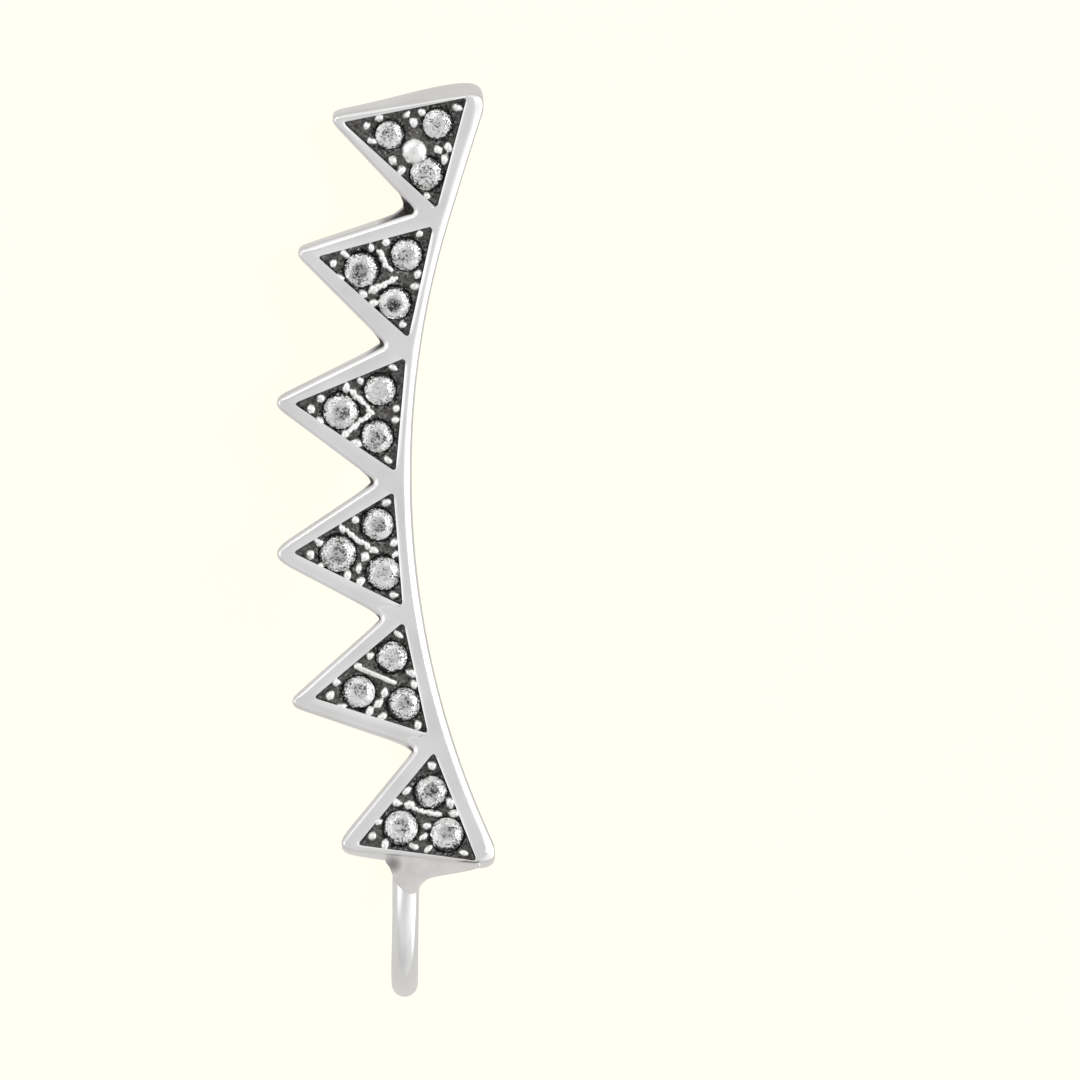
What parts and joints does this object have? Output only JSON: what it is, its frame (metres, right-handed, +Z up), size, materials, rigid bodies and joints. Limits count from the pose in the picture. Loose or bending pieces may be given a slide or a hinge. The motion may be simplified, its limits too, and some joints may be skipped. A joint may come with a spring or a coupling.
{
  "type": "ear climber",
  "caption": "Ear climber: triangular cells paved with round stones along a curved spine, with a wire hook behind it for the ear lobe.",
  "frame": {"origin": "middle of the climber's box, at the height of the table that it lies on", "axes": "+Y towards the climber's top end, +Z up; the paved face looks up, and the cells' tips point towards -X"},
  "size_m": [0.0066, 0.0286, 0.008],
  "materials": {
    "polished_silver": "high-polish silver",
    "stone_paving": "darkened silver floor with clear round stones and bright beads"
  },
  "bodies": {
    "root": {"climber_frame": "polished_silver", "pave_1": "stone_paving", "pave_2": "stone_paving", "pave_3": "stone_paving", "pave_4": "stone_paving", "pave_5": "stone_paving", "pave_6": "stone_paving"}
  },
  "joints": []
}
